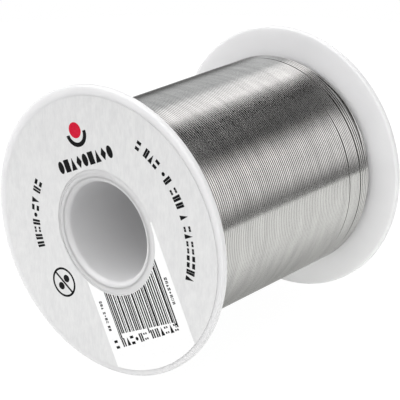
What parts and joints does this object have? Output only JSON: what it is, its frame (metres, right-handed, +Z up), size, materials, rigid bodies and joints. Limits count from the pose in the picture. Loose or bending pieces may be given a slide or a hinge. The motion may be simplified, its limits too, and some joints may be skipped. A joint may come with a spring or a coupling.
{
  "type": "solder wire spool",
  "caption": "Small flanged plastic spool with a through bore, wound full of fine solder wire, with a label ring on one flange.",
  "frame": {"origin": "middle of the through bore, on its axis, halfway between the flanges' outer faces", "axes": "+Y runs along the bore from the labelled front flange to the rear flange, +Z is up as the spool lies on its rims, +X is to the right seen from the front"},
  "size_m": [0.037, 0.0375, 0.037],
  "materials": {
    "spool_plastic": "satin moulded, slightly translucent white",
    "label_film": "silver film, finely brushed, satin",
    "label_white": "white print on the label",
    "label_ink": "black print on the label",
    "label_accent": "red print on the label",
    "solder_wire": "bright drawn tin alloy, closely wound",
    "flux": "amber rosin"
  },
  "bodies": {
    "root": {"front_flange_barrel": "spool_plastic", "rear_flange_sleeve": "spool_plastic", "front_label": "label_film", "wire_inner_layers": "solder_wire", "wire_top_layer": "solder_wire", "wire_last_turns": "solder_wire", "wire_start_tail": "solder_wire", "wire_free_end": "solder_wire", "flux_core": "flux"}
  },
  "joints": []
}
